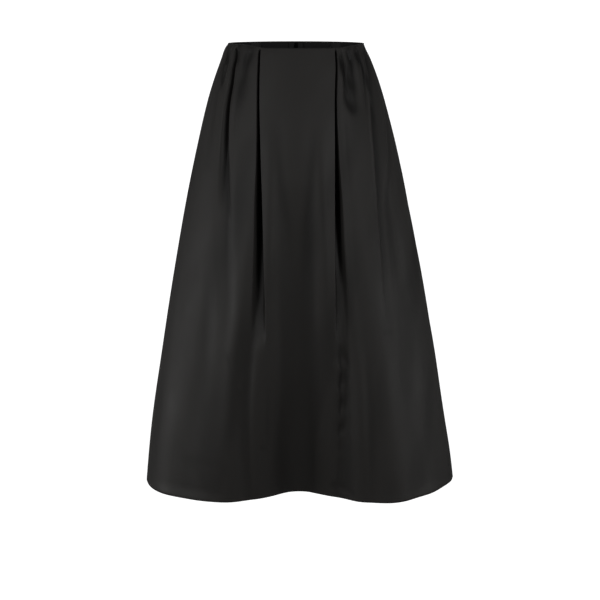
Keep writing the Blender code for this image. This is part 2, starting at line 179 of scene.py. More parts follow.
ROWS = (
    0.0, 0.0038, 0.0050, 0.010, 0.017, 0.024, 0.040, 0.065, 0.095, 0.135, 0.185,
    0.240, 0.300, 0.365, 0.435, 0.505, 0.575, 0.645, 0.715, 0.780, 0.832, LENGTH,
)

F, B = Face
DEEP, SMALL, STEP, WAVE = FoldKind

# The folds that the part's solids have too, from the viewer's left to right
FOLDS = (
    Fold(F, SMALL, (0, 0.022, 0.07), (-0.965, -0.955, -0.93), (2, 3.5, 0), (2.6, 3, 7)),
    Fold(F, SMALL, (0, 0.03, 0.085), (-0.915, -0.895, -0.865), (2, 4, 0), (2.4, 3, 7)),
    Fold(
        F, SMALL, (0, 0.035, 0.075, 0.12, 0.32), (-0.85, -0.806, -0.768, -0.752, -0.61),
        (5, 13, 18, 16, 0), (2.6, 4.4, 5, 5.2, 13), 0.2,
    ),
    Fold(F, WAVE, (0.45, 0.75, LENGTH), (-0.88, -0.88, -0.88), (0, -6, -5), (40, 50, 50)),
    Fold(F, WAVE, (0.25, 0.52, 0.84), (-0.45, -0.43, -0.43), (0, -6, 0), (18, 20, 26)),
    Fold(F, WAVE, (0.006, 0.028, 0.075), (-0.66, -0.65, -0.62), (0, 3, 0), (5, 6, 8)),
    Fold(F, WAVE, (0.46, 0.66, LENGTH), (-0.31, -0.352, -0.33), (0, 9, 5), (13, 16, 20), 0.2),
    Fold(
        F, DEEP, (0, 0.11, 0.21, 0.29, 0.38, 0.57), (-0.509, -0.41, -0.354, -0.322, -0.295, -0.262),
        (8, 16, 28, 38, 32, 0), (2, 2.2, 3.4, 5.8, 7.4, 14), 0.25,
    ),
    Fold(F, WAVE, (0.14, 0.38, LENGTH), (-0.26, -0.215, -0.17), (0, -5, -3), (14, 15, 20)),
    Fold(F, WAVE, (0.26, 0.6, LENGTH), (0.01, 0.022, 0.025), (0, 34, 99), (34, 60, 98)),
    Fold(F, WAVE, (0.14, 0.38, LENGTH), (0.25, 0.215, 0.16), (0, -5, -3), (14, 15, 20)),
    Fold(
        F, DEEP, (0, 0.11, 0.21, 0.29, 0.38, 0.56), (0.577, 0.436, 0.389, 0.367, 0.347, 0.328),
        (8, 16, 28, 33, 22, 0), (2, 2.1, 3.5, 5.8, 7.6, 13), -0.25,
    ),
    Fold(F, SMALL, (0, 0.045, 0.12), (0.665, 0.61, 0.55), (2, 5, 0), (2.2, 3, 7)),
    Fold(F, WAVE, (0.46, 0.67, LENGTH), (0.357, 0.335, 0.31), (0, 13, 5), (12, 15, 18)),
    Fold(F, WAVE, (0.006, 0.05, 0.13), (0.765, 0.73, 0.66), (0, 4, 0), (6, 7, 10)),
    Fold(F, SMALL, (0, 0.045, 0.13), (0.895, 0.85, 0.77), (3, 5, 0), (2.6, 3.6, 7)),
    Fold(F, WAVE, (0.25, 0.52, 0.84), (0.57, 0.585, 0.56), (0, -6, -2), (20, 24, 30)),
    Fold(F, WAVE, (0.5, 0.75, LENGTH), (0.64, 0.64, 0.62), (0, -8, -12), (36, 42, 44)),
    Fold(F, STEP, (0, 0.17, 0.53), (0.985, 0.8, 0.668), (3, 8, 0), (5, 14, 19), -0.6),
    Fold(F, WAVE, (0.5, 0.75, LENGTH), (0.93, 0.93, 0.93), (0, 5, 8), (40, 45, 45)),
    Fold(B, SMALL, (0, 0.025, 0.09), (-0.94, -0.92, -0.89), (2, 3, 0), (2.6, 3, 7)),
    Fold(B, SMALL, (0, 0.1, 0.4), (-0.83, -0.755, -0.605), (3, 10, 0), (2.4, 5, 15)),
    Fold(
        B, DEEP, (0, 0.08, 0.27, 0.56), (-0.6, -0.527, -0.4, -0.33),
        (7, 13.5, 31, 0), (2.6, 4, 7.5, 15), 0.25,
    ),
    Fold(B, WAVE, (0.4, 0.7, LENGTH), (-0.58, -0.56, -0.55), (0, -6, -10), (34, 44, 50)),
    Fold(B, WAVE, (0.46, 0.68, LENGTH), (-0.32, -0.3, -0.28), (0, 10, 24), (20, 30, 38)),
    Fold(B, WAVE, (0.36, 0.68, LENGTH), (0, 0, 0), (0, -3, -8), (30, 36, 44)),
    Fold(B, WAVE, (0.46, 0.68, LENGTH), (0.32, 0.31, 0.3), (0, 9, 22), (20, 30, 40)),
    Fold(B, WAVE, (0.4, 0.7, LENGTH), (0.6, 0.6, 0.59), (0, -6, -11), (34, 44, 52)),
    Fold(B, DEEP, (0, 0.08, 0.28, 0.55), (0.6, 0.527, 0.4, 0.35), (7, 13.5, 30, 0), (2.6, 4, 7.5, 15), -0.25),
    Fold(B, SMALL, (0, 0.095, 0.38), (0.84, 0.76, 0.625), (3, 9, 0), (2.4, 5, 15)),
    Fold(B, SMALL, (0, 0.025, 0.085), (0.945, 0.925, 0.89), (2, 3, 0), (2.6, 3, 7)),
)

# Softer troughs and ridges that only the cloth's surface shows
SOFT_FOLDS = (
    Fold(F, WAVE, (0.16, 0.42, 0.8), (0, 0.012, 0.022), (0, 8, 0), (28, 46, 84)),
    Fold(F, WAVE, (0.13, 0.26, 0.45), (-0.22, -0.15, -0.04), (0, 2, 0), (13, 15, 17)),
    Fold(F, WAVE, (0.13, 0.27, 0.46), (0.2, 0.14, 0.05), (0, 2.2, 0), (13, 15, 17)),
    Fold(F, WAVE, (0.05, 0.2, 0.36), (0, 0, 0.01), (0, -1.5, 0), (26, 24, 14)),
    Fold(F, WAVE, (0.06, 0.25, 0.57), (-0.81, -0.665, -0.46), (0, 6, 0), (8, 13, 20), 0.2),
    Fold(F, WAVE, (0.03, 0.11, 0.24), (-0.95, -0.9, -0.84), (0, 2.5, 0), (8, 11, 16)),
    Fold(F, WAVE, (0.05, 0.2, 0.36), (-0.7, -0.635, -0.56), (0, 4, 0), (7, 9, 12)),
    Fold(
        F, WAVE, (0.1, 0.205, 0.3, 0.4, 0.52), (0.985, 0.92, 0.822, 0.795, 0.77),
        (0, 3.2, 3.8, 2.6, 0), (6, 8, 9, 10, 12),
    ),
    Fold(F, WAVE, (0.4, 0.58, 0.8), (-0.66, -0.66, -0.68), (0, 2, 0), (14, 18, 24)),
    Fold(F, WAVE, (0.3, 0.55, 0.8), (0.8, 0.79, 0.78), (0, 3, 0), (16, 20, 26)),
    Fold(F, WAVE, (0.05, 0.16, 0.34), (0.53, 0.48, 0.45), (0, 3, 0), (9, 11, 14)),
    Fold(F, WAVE, (0.03, 0.17, 0.46), (0.93, 0.76, 0.665), (0, -1.6, 0), (2.5, 3, 5)),
    Fold(F, WAVE, (0.56, 0.74, LENGTH), (0.44, 0.42, 0.4), (0, -5, -3), (12, 13, 16)),
    Fold(F, WAVE, (0.5, 0.7, 0.84), (-0.19, -0.2, -0.2), (0, 3.5, 0), (9, 10, 12)),
    Fold(B, WAVE, (0.1, 0.3, 0.5), (-0.2, -0.16, -0.13), (0, 2, 0), (20, 24, 30)),
    Fold(B, WAVE, (0.12, 0.32, 0.52), (0.22, 0.17, 0.14), (0, 2.2, 0), (20, 24, 30)),
    Fold(B, WAVE, (0.05, 0.18, 0.36), (-0.9, -0.84, -0.8), (0, 3, 0), (9, 12, 18)),
    Fold(B, WAVE, (0.05, 0.18, 0.36), (0.91, 0.86, 0.8), (0, 2.6, 0), (9, 12, 18)),
    Fold(B, WAVE, (0.05, 0.14, 0.28), (-0.69, -0.6, -0.55), (0, 2.5, 0), (8, 10, 14)),
    Fold(B, WAVE, (0.05, 0.14, 0.28), (0.71, 0.6, 0.56), (0, 2.5, 0), (8, 10, 14)),
    Fold(B, WAVE, (0.42, 0.62, 0.84), (-0.78, -0.78, -0.78), (0, 3, 0), (18, 24, 30)),
    Fold(B, WAVE, (0.42, 0.64, 0.84), (0.8, 0.8, 0.79), (0, 3.5, 0), (18, 24, 30)),
)

# Their dents also darken the satin's colour by painted shade.
PUCKERS = (
    # The gathered cloth left of the left pleat, under the waist edge
    Pucker(F, 0.016, -0.64, 2, 0.02, 0.011, -4),
    Pucker(F, 0.02, -0.795, 3.8, 0.016, 0.0058, 10),
    Pucker(F, 0.024, -0.925, 3.6, 0.014, 0.0052, 18),
    Pucker(F, 0.06, -0.905, 2, 0.02, 0.0055, 20),
    Pucker(F, 0.08, -0.64, 1.3, 0.036, 0.014, 4),
    # The gathered cloth right of the right pleat
    Pucker(F, 0.032, 0.605, 3.4, 0.015, 0.0046, -6),
    Pucker(F, 0.02, 0.745, 3.2, 0.016, 0.0066, -8),
    Pucker(F, 0.06, 0.655, 4.2, 0.02, 0.0088, -8),
    Pucker(F, 0.104, 0.615, 4.6, 0.018, 0.0095, 0),
    Pucker(F, 0.018, 0.85, 4.6, 0.014, 0.0058, -14),
    Pucker(F, 0.034, 0.925, 2.6, 0.02, 0.0042, -18),
    Pucker(F, 0.092, 0.858, 3.4, 0.034, 0.0042, -2),
    # Crumples over the right lower valley, and the small crease where the right step ends
    Pucker(F, 0.545, 0.655, 1.2, 0.012, 0.0035, 82),
    Pucker(F, 0.59, 0.345, 3.6, 0.014, 0.006, 30),
    Pucker(F, 0.612, 0.305, -2.8, 0.012, 0.005, 24),
    Pucker(F, 0.636, 0.335, 4, 0.012, 0.0055, -22),
    Pucker(F, 0.662, 0.3, -2.8, 0.011, 0.005, 28),
    Pucker(F, 0.684, 0.33, 4.4, 0.012, 0.0055, -16),
    Pucker(F, 0.712, 0.298, -3, 0.01, 0.0048, 40),
    Pucker(F, 0.732, 0.32, 4, 0.011, 0.0055, -34),
    Pucker(F, 0.756, 0.296, -1.8, 0.01, 0.0045, 60),
    Pucker(F, 0.79, 0.306, -1.2, 0.012, 0.006, 16),
    Pucker(F, 0.855, 0.31, 2.8, 0.016, 0.006, 72),
    # Faint dents low on the left
    Pucker(F, 0.6, -0.455, 1, 0.016, 0.0055, 35),
    Pucker(F, 0.64, -0.38, -0.8, 0.014, 0.0055, -40),
    Pucker(F, 0.77, -0.24, 1, 0.01, 0.0055, 76),
    Pucker(F, 0.805, -0.62, 0.5, 0.05, 0.012, 80),
    # The back: below the zip, the gathers on both sides, and faint dents lower down
    Pucker(B, 0.215, -0.02, 0.7, 0.018, 0.0065, 28),
    Pucker(B, 0.224, 0.026, 0.8, 0.02, 0.0065, -34),
    Pucker(B, 0.018, -0.78, 3.2, 0.014, 0.007, 8),
    Pucker(B, 0.022, -0.68, 2.8, 0.016, 0.006, 4),
    Pucker(B, 0.06, -0.7, 3, 0.018, 0.008, 8),
    Pucker(B, 0.02, 0.77, 3.2, 0.016, 0.007, -8),
    Pucker(B, 0.024, 0.67, 2.8, 0.014, 0.006, -4),
    Pucker(B, 0.064, 0.72, 3.2, 0.02, 0.008, -9),
    Pucker(B, 0.61, -0.33, 1, 0.014, 0.0055, 30),
    Pucker(B, 0.66, -0.3, -0.9, 0.012, 0.0055, -36),
    Pucker(B, 0.62, 0.345, 1, 0.014, 0.0055, -26),
)

# Where the hem's turned edge stands slightly out
FLARES = (
    Pucker(F, LENGTH, -0.72, 2.8, 0.08, 0.011, 0),
    Pucker(F, LENGTH, 0.86, 2.8, 0.05, 0.011, 0),
    Pucker(F, LENGTH, 0.52, 0.8, 0.04, 0.009, 0),
    Pucker(B, LENGTH, -0.55, 1.4, 0.08, 0.01, 0),
    Pucker(B, LENGTH, 0.62, 1.4, 0.08, 0.01, 0),
)


def along(height: float, stops: Sequence[float], values: Sequence[float]) -> float:
    """Reads a table at a height, on a smooth line that never overshoots its stops.

    Args:
        height: where to read it.
        stops: the heights that the table gives.
        values: the value at each of them.

    Returns:
        The value at this height.
    """
    height = min(max(height, stops[0]), stops[-1])
    steps = np.diff(stops)
    rises = np.diff(values) / steps
    slopes = np.zeros(len(stops))
    for i in range(1, len(stops) - 1):
        if rises[i - 1] * rises[i] > 0:
            slopes[i] = 2 * rises[i - 1] * rises[i] / (rises[i - 1] + rises[i])
    for end, near in ((0, 1), (-1, -2)):
        most = 3 * rises[end]
        slopes[end] = min(max(1.5 * rises[end] - 0.5 * slopes[near], min(0, most)), max(0, most))
    i = min(int(np.searchsorted(stops, height, side="right")) - 1, len(steps) - 1)
    part = (height - stops[i]) / steps[i]
    rest = 1 - part
    ends = values[i] * rest * rest * (1 + 2 * part) + values[i + 1] * part * part * (3 - 2 * part)
    return float(ends + steps[i] * part * rest * (slopes[i] * rest - slopes[i + 1] * part))


def eased(value: np.ndarray | float) -> np.ndarray | float:
    """Nought to one, with soft ends."""
    value = np.clip(value, 0.0, 1.0)
    return value * value * (3 - 2 * value)


def section_at(height: float) -> Section:
    """The ring's sizes at this height."""
    stops = [section.height for section in SECTIONS]
    names = ("left", "right", "front", "back", "square")
    return Section(height, *[along(height, stops, [getattr(s, name) for s in SECTIONS]) for name in names])


class Ring:
    """One level of the skirt's front or back: its curve from the left side seam to the right one."""

    def __init__(self, face: Face, height: float) -> None:
        """Works the plain curve out.

        Args:
            face: which side of the skirt.
            height: how far below the waist edge.
        """
        self.face = face
        self.height = height
        self.section = section_at(height)
        near, far = self.section.front, self.section.back
        if face is Face.BACK:
            near, far = far, near
        angles = np.linspace(-RING_OVERLAP, math.pi + RING_OVERLAP, RING_POINTS)
        power = 2.0 / self.section.square
        cosines, sines = np.cos(angles), np.sin(angles)
        half_width = np.where(cosines > 0, self.section.left, self.section.right)
        half_depth = np.where(sines > 0, near, far)
        self.x = -half_width * np.sign(cosines) * np.abs(cosines) ** power
        self.y = face.value * half_depth * np.sign(sines) * np.abs(sines) ** power
        self.arc = np.concatenate([[0.0], np.cumsum(np.hypot(np.diff(self.x), np.diff(self.y)))])
        self.arc -= np.interp(0.0, angles, self.arc)
        self.long = float(np.interp(math.pi, angles, self.arc))

    def arc_at(self, place: float) -> float:
        """How far along the ring a place lies, given as a share of the half width."""
        x = place * (self.section.left if place < 0 else self.section.right)
        inside = (self.arc >= 0) & (self.arc <= self.long)
        return float(np.interp(x, self.x[inside], self.arc[inside]))

    def sink(self, arc: np.ndarray, soft: bool = True, widen: float = 1.0, spread: float = 0.0) -> np.ndarray:
        """How deep the folds push the cloth in.

        Args:
            arc: places along the ring.
            soft: whether the surface's own troughs and creases count.
            widen: how many times wider each fold is.
            spread: how much wider still, in metres.

        Returns:
            The depth at each place, in metres.
        """
        total = np.zeros(len(arc))
        for fold in FOLDS + (SOFT_FOLDS if soft else ()):
            depth = along(self.height, fold.heights, fold.depths) / 1000
            if fold.face is not self.face or depth == 0.0 or (widen > 1.0 and depth < 0):
                continue
            width = along(self.height, fold.heights, fold.widths) / 1000
            off = arc - self.arc_at(along(self.height, fold.heights, fold.places))
            reach = np.where(off < 0, width * (1 + fold.skew), width * (1 - fold.skew)) * widen + spread
            total += depth * np.exp(-np.abs(off / reach) ** fold.kind.power)
        if soft:
            total += self.creases(arc)
        return total * float(eased(self.height / RIM_RISE))

    def creases(self, arc: np.ndarray) -> np.ndarray:
        """The short creases, the hem turn's soft line and the cloth's slow unevenness, in metres."""
        total = np.zeros(len(arc))
        for pucker in PUCKERS:
            off_height = self.height - pucker.height
            if pucker.face is not self.face or abs(off_height) > 3 * pucker.long:
                continue
            off = arc - self.arc_at(pucker.place)
            turn = math.radians(pucker.lean)
            length = off_height * math.cos(turn) + off * math.sin(turn)
            width = off * math.cos(turn) - off_height * math.sin(turn)
            total += pucker.depth / 1000 * np.exp(-((length / pucker.long) ** 2) - (width / pucker.wide) ** 2)
        for flare in FLARES:
            if flare.face is self.face:
                near = np.exp(-(((arc - self.arc_at(flare.place)) / flare.long) ** 2))
                total -= flare.depth / 1000 * near * math.exp(-(((LENGTH - self.height) / flare.wide) ** 2))
        return total - self._hem_line(arc) + self._unevenness(arc)

    def _hem_line(self, arc: np.ndarray) -> np.ndarray:
        """The soft ridge where the hem turn ends inside, with a shallower trough below it."""
        wander = 0.0012 * np.sin(arc * 23.0 + 1.1) + 0.0008 * np.sin(arc * 51.0)
        off = LENGTH - self.height - HEM_TURN + wander
        strength = 0.00030 + 0.00016 * np.sin(arc * 11.0 + self.face.value)
        ridge, trough = np.exp(-((off / 0.0022) ** 2)), np.exp(-(((off + 0.004) / 0.0035) ** 2))
        return strength * (ridge - 0.5 * trough)

    def _unevenness(self, arc: np.ndarray) -> np.ndarray:
        """The slow swells of hanging cloth, in metres, which start below the gathers."""
        high, turned = self.height, self.face.value
        slow = np.sin(arc * 37.0 + 4.0 * high) * np.sin(high * 6.0 + arc * 5.0 + turned)
        fine = np.sin(arc * 83.0 - 7.0 * high + 0.7) * np.sin(high * 11.0 - arc * 9.0)
        return (0.0007 * slow + 0.00035 * fine) * float(eased((high - 0.05) / 0.3))

    def outline(self, arc: np.ndarray, sink: np.ndarray) -> np.ndarray:
        """The cloth's points.

        Args:
            arc: places along the ring.
            sink: how deep the cloth lies there.

        Returns:
            A row of points, in the part's frame.
        """
        x, y = np.interp(arc, self.arc, self.x), np.interp(arc, self.arc, self.y)
        ahead, behind = arc + TANGENT_STEP, arc - TANGENT_STEP
        run_x = np.interp(ahead, self.arc, self.x) - np.interp(behind, self.arc, self.x)
        run_y = np.interp(ahead, self.arc, self.y) - np.interp(behind, self.arc, self.y)
        size = np.hypot(run_x, run_y)
        x = x + self.face.value * run_y / size * sink
        y = y - self.face.value * run_x / size * sink
        return np.stack([x, y, -self.height - self.dip(x)], axis=1)

    def dip(self, x: np.ndarray) -> np.ndarray:
        """How far the front waist edge hangs below the back one, at each place across."""
        if self.face is Face.BACK:
            return np.zeros(len(x))
        across = x / np.where(x < 0, self.section.left, self.section.right)
        inner, outer = DIP_REACH
        flat = 1 - eased((np.abs(across - DIP_MIDDLE) - inner) / (outer - inner))
        return FRONT_DIP * flat * float(1 - eased(self.height / DIP_FADE))


@dataclass(frozen=True)
class Span:
    """The part of each ring that a piece covers: from side seam to side seam, or up to the centre back.

    A piece that ends at the centre back stays clear of it by stop, or, without a stop, by the small notch
    round the neck of the zip's slider.
    """

    from_centre: bool = False
    to_centre: bool = False
    stop: float | None = None

    def ends(self, ring: Ring) -> tuple[float, float]:
        """Where the piece starts and ends along this ring."""
        clear = self.stop
        if clear is None:
            clear = along(ring.height, NOTCH_STOPS, (0.0, 0.0, NOTCH_HALF, NOTCH_HALF, 0.0))
        middle = ring.arc_at(0.0)
        return middle + clear if self.from_centre else 0.0, middle - clear if self.to_centre else ring.long


WHOLE = Span()
LEFT_HALF, RIGHT_HALF = Span(to_centre=True), Span(from_centre=True)
LEFT_FACING = Span(to_centre=True, stop=FACING_STOP)
RIGHT_FACING = Span(from_centre=True, stop=FACING_STOP)


@dataclass(frozen=True)
class ColumnPlan:
    """Where the columns of a cloth grid go, close together beside each fold."""

    face: Face
    span: Span
    cell: float = 0.0195
    least: float = 0.0013
    model_heights: tuple[float, float] = (0.02, 0.60)

    def _groups(self, ring: Ring, folds: Sequence[Fold]) -> list[list[float]]:
        """The columns that the two ends and each fold need at this level."""
        start, end = self.span.ends(ring)
        groups = [[start, start + END_CELL]]
        for fold in folds:
            middle = ring.arc_at(along(ring.height, fold.heights, fold.places))
            width = along(ring.height, fold.heights, fold.widths) / 1000
            sides = (width * (1 + fold.skew), width * (1 - fold.skew))
            groups.append([middle + step * sides[step > 0] for step in fold.kind.columns])
        groups.append([end - END_CELL, end])
        return groups

    def counts(self) -> tuple[list[Fold], list[int]]:
        """The folds of this piece and the number of cells between their groups of columns."""
        models = [Ring(self.face, height) for height in self.model_heights]
        start, end = self.span.ends(models[-1])
        folds = [fold for fold in FOLDS if fold.face is self.face and fold.kind.columns]
        folds = [fold for fold in folds if start < models[-1].arc_at(fold.places[-1]) < end]
        groups = [self._groups(model, folds) for model in models]
        gaps = [max(g[i][0] - g[i - 1][-1] for g in groups) for i in range(1, len(groups[0]))]
        return folds, [max(int(round(gap / self.cell)), 1) for gap in gaps]

    def at(self, ring: Ring, folds: Sequence[Fold], counts: Sequence[int]) -> np.ndarray:
        """The main columns' places along this ring.

        Args:
            ring: the level.
            folds: the folds with columns of their own.
            counts: how many cells lie between their groups.

        Returns:
            The places, in order.
        """
        groups = self._groups(ring, folds)
        places = list(groups[0])
        for i, count in enumerate(counts, start=1):
            start, end = groups[i - 1][-1], groups[i][0]
            places += [start + (end - start) * k / count for k in range(1, count)]
            places += groups[i]
        ahead, behind = np.array(places), np.array(places)
        for i in range(1, len(places)):
            ahead[i] = max(ahead[i], ahead[i - 1] + self.least)
        for i in range(len(places) - 2, -1, -1):
            behind[i] = min(behind[i], behind[i + 1] - self.least)
        middle = (ahead + behind) / 2
        middle[0], middle[-1] = places[0], places[-1]
        return middle


def finer(values: np.ndarray, times: int) -> np.ndarray:
    """The same values with each step cut into this many."""
    spots = np.arange(len(values))
    return np.interp(np.linspace(0, len(values) - 1, (len(values) - 1) * times + 1), spots, values)


def on_cloth(arc: np.ndarray, height: float) -> np.ndarray:
    """The UV places of a row: along the ring, and down from the waist edge, in metres."""
    return np.stack([arc, np.full(len(arc), height)], axis=1)


def outward_normals(grid: np.ndarray, face: Face, blur: int) -> np.ndarray:
    """Unit normals of a grid of points, looking out of the skirt.

    Args:
        grid: rows of points, from the top down and from left to right.
        face: which side of the skirt it is on.
        blur: how many times the normals are evened out along their rows.

    Returns:
        A normal for each point.
    """
    across, down = np.gradient(grid, axis=1), np.gradient(grid, axis=0)
    normals = np.cross(across, down) if face is Face.BACK else np.cross(down, across)
    normals /= np.linalg.norm(normals, axis=2)[:, :, None]
    for _ in range(blur):
        padded = np.concatenate([normals[:, :1], normals, normals[:, -1:]], axis=1)
        normals = padded[:, :-2] + padded[:, 1:-1] + padded[:, 2:]
        normals /= np.linalg.norm(normals, axis=2)[:, :, None]
    return normals


def painted_shade_amount(height: float, arc: np.ndarray, sink: np.ndarray, creases: np.ndarray) -> np.ndarray:
    """How much painted shade darkens the satin's colour, from how much deeper the cloth lies than around it and
    from its dents: nought on the open cloth, one in deep creases.

    Lower down the folds open and let more light in, so the most painted shade there is less than one.

    Args:
        height: how far below the waist edge the ring lies.
        arc: places along the ring.
        sink: how deep the cloth lies there.
        creases: how much of that the short creases make.

    Returns:
        A value for each place.
    """
    even = np.arange(arc[0], arc[-1], PAINTED_SHADE_STEP)
    depth = np.interp(even, arc, sink)
    reach = round(PAINTED_SHADE_REACH / PAINTED_SHADE_STEP)
    window = np.full(2 * reach + 1, 1 / (2 * reach + 1))
    around = np.convolve(np.pad(depth, reach, mode="edge"), window, mode="valid")
    fold_painted_shade = np.clip(np.interp(arc, even, depth - around) / PAINTED_SHADE_FULL_DEPTH, 0.0, 1.0)
    start, end = PAINTED_SHADE_WEAKENS
    most = 1 - (1 - PAINTED_SHADE_LEFT) * float(eased((height - start) / (end - start)))
    return np.clip(fold_painted_shade + np.maximum(creases, 0.0) / PAINTED_DENT_SHADE_DEPTH, 0.0, most)


def object_of(name: str, points: np.ndarray, faces: Sequence[Sequence[int]]) -> bpy.types.Object:
    """Makes a smooth mesh object.

    Args:
        name: the object's name.
        points: its vertices.
        faces: its faces, as vertex numbers.

    Returns:
        The object, linked to the scene.
    """
    mesh = bpy.data.meshes.new(name)
    mesh.from_pydata(points.tolist(), [], [list(face) for face in faces])
    mesh.validate()
    mesh.shade_smooth()
    obj = bpy.data.objects.new(name, mesh)
    bpy.context.scene.collection.objects.link(obj)
    return obj


def tube_faces(numbers: np.ndarray) -> list[list[int]]:
    """The faces round a closed loop of rows, from the rows' vertex numbers."""
    after = np.roll(numbers, -1, axis=0)
    corners = [numbers[:, :-1], after[:, :-1], after[:, 1:], numbers[:, 1:]]
    return np.stack(corners, axis=-1).reshape(-1, 4).tolist()


def turn_outward(mesh: bpy.types.Mesh) -> None:
    """Makes every face of a closed mesh look outward."""
    made = bmesh.new()
    made.from_mesh(mesh)
    bmesh.ops.recalc_face_normals(made, faces=made.faces)
    made.to_mesh(mesh)
    made.free()


def settle(
    obj: bpy.types.Object, slot: str, *materials: bpy.types.Material, stands_for: str = "",
) -> None:
    """Gives a finished piece its materials and puts it in the frame.

    Args:
        obj: the piece.
        slot: the frame's slot that it shows, which only goes into the log.
        materials: its own materials, if it has none yet.
        stands_for: the solid that it is drawn in place of.
    """
    for material in materials:
        obj.data.materials.append(material)
    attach(obj, "skirt")
    if stands_for:
        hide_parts(stands_for)
    LOG.info("%s: %d faces, slot %s", obj.name, len(obj.data.polygons), slot)


def closed_sheet(
    name: str, outer: np.ndarray, inner: np.ndarray, uv: np.ndarray, creases: np.ndarray | None = None,
) -> bpy.types.Object:
    """Joins an outer and an inner grid into one closed wall with round top and bottom edges.

    Args:
        name: the object's name.
        outer: rows of points of the outer face.
        inner: rows of points of the inner face.
        uv: arc and height of each outer point, in metres.
        creases: how far each outer point lies in creases and dents, which sets its painted shade, from nought
            to one. Only satin has them.

    Returns:
        The object, with a UV map named cloth. Satin also has an attribute with its painted shade, and its inner
        face takes the second material.
    """
    tall, wide = outer.shape[:2]
    arcs = []
    for row, side in ((tall - 1, 1.0), (0, -1.0)):
        middle = (outer[row] + inner[row]) / 2
        half = (outer[row] - inner[row]) / 2
        drop = np.array([0.0, 0.0, -side]) * np.linalg.norm(half, axis=1)[:, None]
        arcs.append([middle + side * half * math.cos(a) + drop * math.sin(a) for a in EDGE_TURNS])
    rounds = len(EDGE_TURNS)
    points = np.array([*outer, *arcs[0], *inner[::-1], *arcs[1]])
    count = len(points)
    numbers = np.arange(count * wide).reshape(count, wide)
    inner_bottom, inner_top = tall + rounds, 2 * tall + rounds - 1
    caps = []
    for column in (0, wide - 1):
        edge = numbers[:, column]
        for i in range(tall - 1):
            caps.append([edge[i], edge[i + 1], edge[inner_top - 1 - i], edge[inner_top - i]])
        for start in (tall - 1, inner_top):
            caps.append([edge[(start + k) % count] for k in range(rounds + 2)])
    obj = object_of(name, points.reshape(-1, 3), tube_faces(numbers) + caps)
    mesh = obj.data
    loop_uv = np.array([*uv, *[uv[-1]] * rounds, *uv[::-1], *[uv[0]] * rounds]).reshape(-1, 2)
    indices = np.zeros(len(mesh.loops), np.int64)
    mesh.loops.foreach_get("vertex_index", indices)
    mesh.uv_layers.new(name="cloth").data.foreach_set("uv", loop_uv[indices].ravel())
    # Painted shade for the satin: kept in a point attribute that darkens its colour.
    if creases is not None:
        rows = [*creases, *[creases[-1]] * rounds, *np.zeros_like(creases), *[creases[0]] * rounds]
        mesh.attributes.new("painted_crease_shade", "FLOAT", "POINT").data.foreach_set("value", np.array(rows).ravel())
        rows_of_face = np.repeat(np.arange(count), wide - 1)
        inside = np.zeros(len(mesh.polygons), np.int32)
        inside[: len(rows_of_face)] = (rows_of_face >= inner_bottom - 1) & (rows_of_face < inner_top)
        mesh.polygons.foreach_set("material_index", inside)
    turn_outward(mesh)
    return obj


Socket = bpy.types.NodeSocket


class NodeWriter:
    """Adds nodes to a material's tree or to a Geometry Nodes tree, each with its inputs."""

    def __init__(self, tree: bpy.types.NodeTree) -> None:
        """Keeps the tree that it writes to."""
        self.tree = tree

    def feed(self, node: bpy.types.Node, inputs: dict[str, Any]) -> None:
        """Sets a node's inputs.

        Args:
            node: the node.
            inputs: for each input its value, or the output socket that it is linked to.
        """
        for name, value in inputs.items():
            if isinstance(value, Socket):
                self.tree.links.new(value, node.inputs[name])
            else:
                node.inputs[name].default_value = value

    def add(self, kind: str, inputs: dict[str, Any] | None = None, **settings: Any) -> bpy.types.Node:
        """Adds a node.

        Args:
            kind: the node's type.
            inputs: its inputs, as feed takes them.
            settings: its own settings, which come before its inputs.

        Returns:
            The node.
        """
        node = self.tree.nodes.new(kind)
        for name, value in settings.items():
            setattr(node, name, value)
        self.feed(node, inputs or {})
        return node

    def noise(self, source: Socket, stretch: Sequence[float], detail: float) -> Socket:
        """Noise on these coordinates, so many times finer along each axis."""
        mapping = self.add("ShaderNodeMapping", {"Scale": stretch, "Vector": source})
        inputs = {"Scale": 1.0, "Detail": detail, "Vector": mapping.outputs["Vector"]}
        return self.add("ShaderNodeTexNoise", inputs).outputs["Fac"]

    def blend(self, share: Socket, first: Sequence[float], second: Sequence[float]) -> Socket:
        """A colour between two, by this share."""
        inputs = {"A": (*first, 1.0), "B": (*second, 1.0), "Factor": share}
        return self.add("ShaderNodeMix", inputs, data_type="RGBA").outputs["Result"]

    def spread(
        self, source: Socket, middle: float, reach: float, given: tuple[float, float] = (0.0, 1.0),
    ) -> Socket:
        """A value up to this reach either side of its middle, as the source goes through its given range."""
        inputs = {
            "From Min": given[0], "From Max": given[1],
            "To Min": middle - reach, "To Max": middle + reach, "Value": source,
        }
        return self.add("ShaderNodeMapRange", inputs).outputs["Result"]

    def bump(self, height: Socket, strength: float, distance: float) -> Socket:
        """A normal with this relief."""
        inputs = {"Strength": strength, "Distance": distance, "Height": height}
        return self.add("ShaderNodeBump", inputs).outputs["Normal"]

    def object_place(self) -> Socket:
        """The point's own place on its piece."""
        return self.add("ShaderNodeTexCoord").outputs["Object"]


def fresh_material(name: str) -> tuple[bpy.types.Material, NodeWriter, bpy.types.Node]:
    """A new material with a writer for its nodes and its Principled shader."""
    material = bpy.data.materials.new(name)
    material.use_nodes = True
    return material, NodeWriter(material.node_tree), material.node_tree.nodes["Principled BSDF"]


